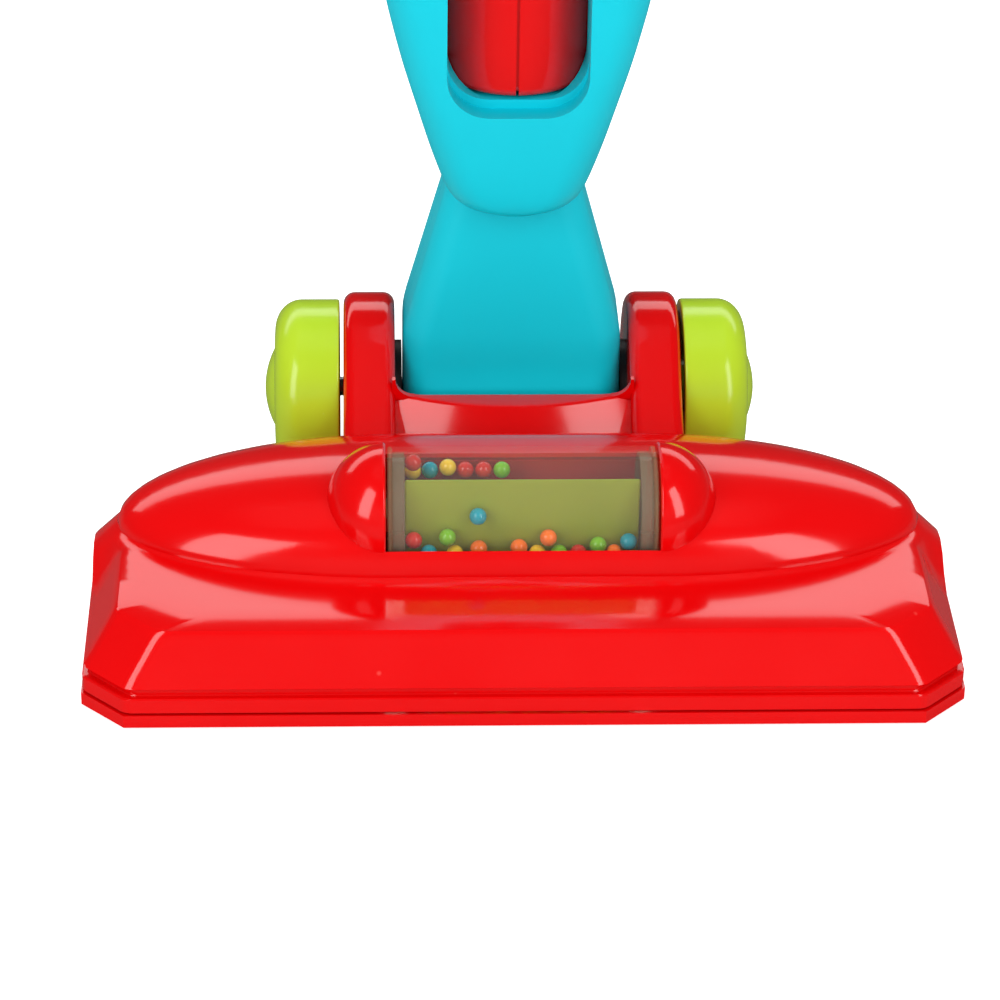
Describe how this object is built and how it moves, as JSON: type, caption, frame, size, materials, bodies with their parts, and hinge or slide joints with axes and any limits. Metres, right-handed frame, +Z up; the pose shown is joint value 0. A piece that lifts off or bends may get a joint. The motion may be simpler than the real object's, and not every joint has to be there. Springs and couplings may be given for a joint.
{
  "type": "toy vacuum cleaner",
  "caption": "Upright push-along toy vacuum cleaner: red floor head with a clear turning bead drum and rear wheels, a tilting teal neck and body with a red canister, and a loop handle.",
  "frame": {"origin": "on the floor, at the middle of the object's width and depth", "axes": "+X to the right as seen from the front, -Y towards the head's front lip, +Z up"},
  "size_m": [0.26, 0.1882, 0.5336],
  "materials": {
    "red": "glossy moulded plastic",
    "teal": "satin moulded plastic",
    "lime": "glossy moulded plastic",
    "clear": "clear moulded plastic",
    "bead_red": "glossy",
    "bead_yellow": "glossy",
    "bead_blue": "glossy",
    "bead_green": "glossy",
    "bead_orange": "glossy",
    "steel": "plain zinc-plated steel",
    "black": "matt moulded plastic",
    "rubber": "matt rubber",
    "grip": "soft matt moulded rubber"
  },
  "bodies": {
    "head": {"head_shell": "red", "base_plate": "red", "base_screws": "steel", "pivot_washer_left": "black", "pivot_washer_right": "black"},
    "drum": {"drum_tube": "clear", "drum_end_left": "clear", "drum_end_right": "clear", "drum_core": "lime", "beads_red": "bead_red", "beads_yellow": "bead_yellow", "beads_blue": "bead_blue", "beads_green": "bead_green", "beads_orange": "bead_orange"},
    "roller": {"roller_shaft": "steel", "roller_core": "black", "roller_tyres": "rubber"},
    "wheel_set": {"axle": "steel", "wheel_left": "lime", "wheel_right": "lime", "hub_cap_left": "lime", "hub_cap_right": "lime"},
    "upright": {"neck_front": "teal", "neck_rear": "teal", "neck_screws": "steel", "body_front": "teal", "body_rear": "teal", "body_screws": "steel", "canister_left": "red", "canister_right": "red", "handle_left": "teal", "handle_right": "teal", "grip_sleeve": "grip", "handle_screws": "steel"}
  },
  "joints": [
    {"name": "neck_tilt", "type": "hinge", "parent": "head", "child": "upright", "pos_m": [0, 0.06385, 0.028], "axis": [-1, 0, 0], "range_deg": [0, 50]},
    {"name": "wheels_spin", "type": "hinge", "parent": "head", "child": "wheel_set", "pos_m": [0, 0.06385, 0.028], "axis": [1, 0, 0], "continuous": true},
    {"name": "drum_spin", "type": "hinge", "parent": "head", "child": "drum", "pos_m": [0, -0.03715, 0.0411], "axis": [1, 0, 0], "continuous": true},
    {"name": "roller_spin", "type": "hinge", "parent": "head", "child": "roller", "pos_m": [0, -0.03715, 0.0112], "axis": [1, 0, 0], "continuous": true}
  ],
  "couplings": [
    {"joint": "roller_spin", "follows": "drum_spin", "ratio": -1.6667}
  ]
}
